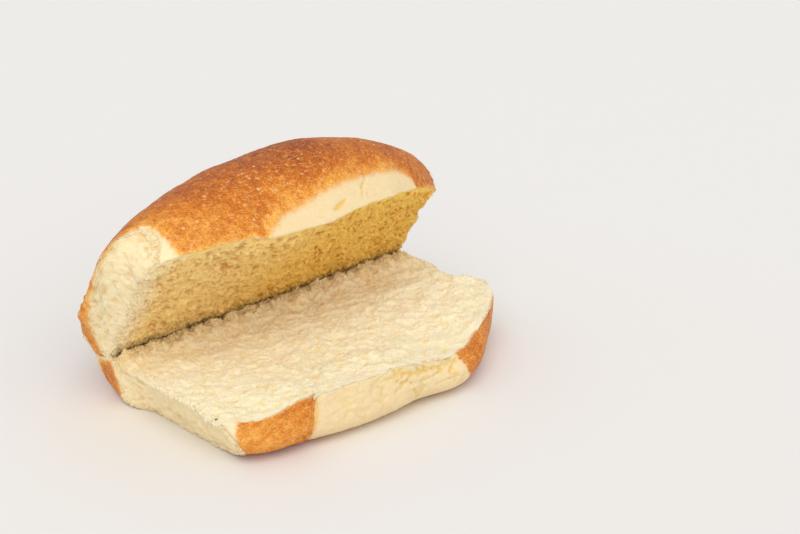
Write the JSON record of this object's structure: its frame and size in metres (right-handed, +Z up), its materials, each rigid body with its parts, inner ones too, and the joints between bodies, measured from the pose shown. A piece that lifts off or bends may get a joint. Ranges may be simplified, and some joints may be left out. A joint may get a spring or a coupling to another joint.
{
  "type": "split soft bread roll",
  "caption": "Soft oval sandwich roll, slit along one side and opened: browned domed lid, pale crumb base, joined by the crust at the back.",
  "frame": {"origin": "middle of the opened roll's bounding box, on the surface it rests on", "axes": "+X along the roll, +Z up, -Y towards the open mouth, +Y towards the crust that hinges the lid"},
  "size_m": [0.1748, 0.1162, 0.0939],
  "materials": {
    "crust": null
  },
  "bodies": {
    "root": {"roll": "crust"}
  },
  "joints": []
}
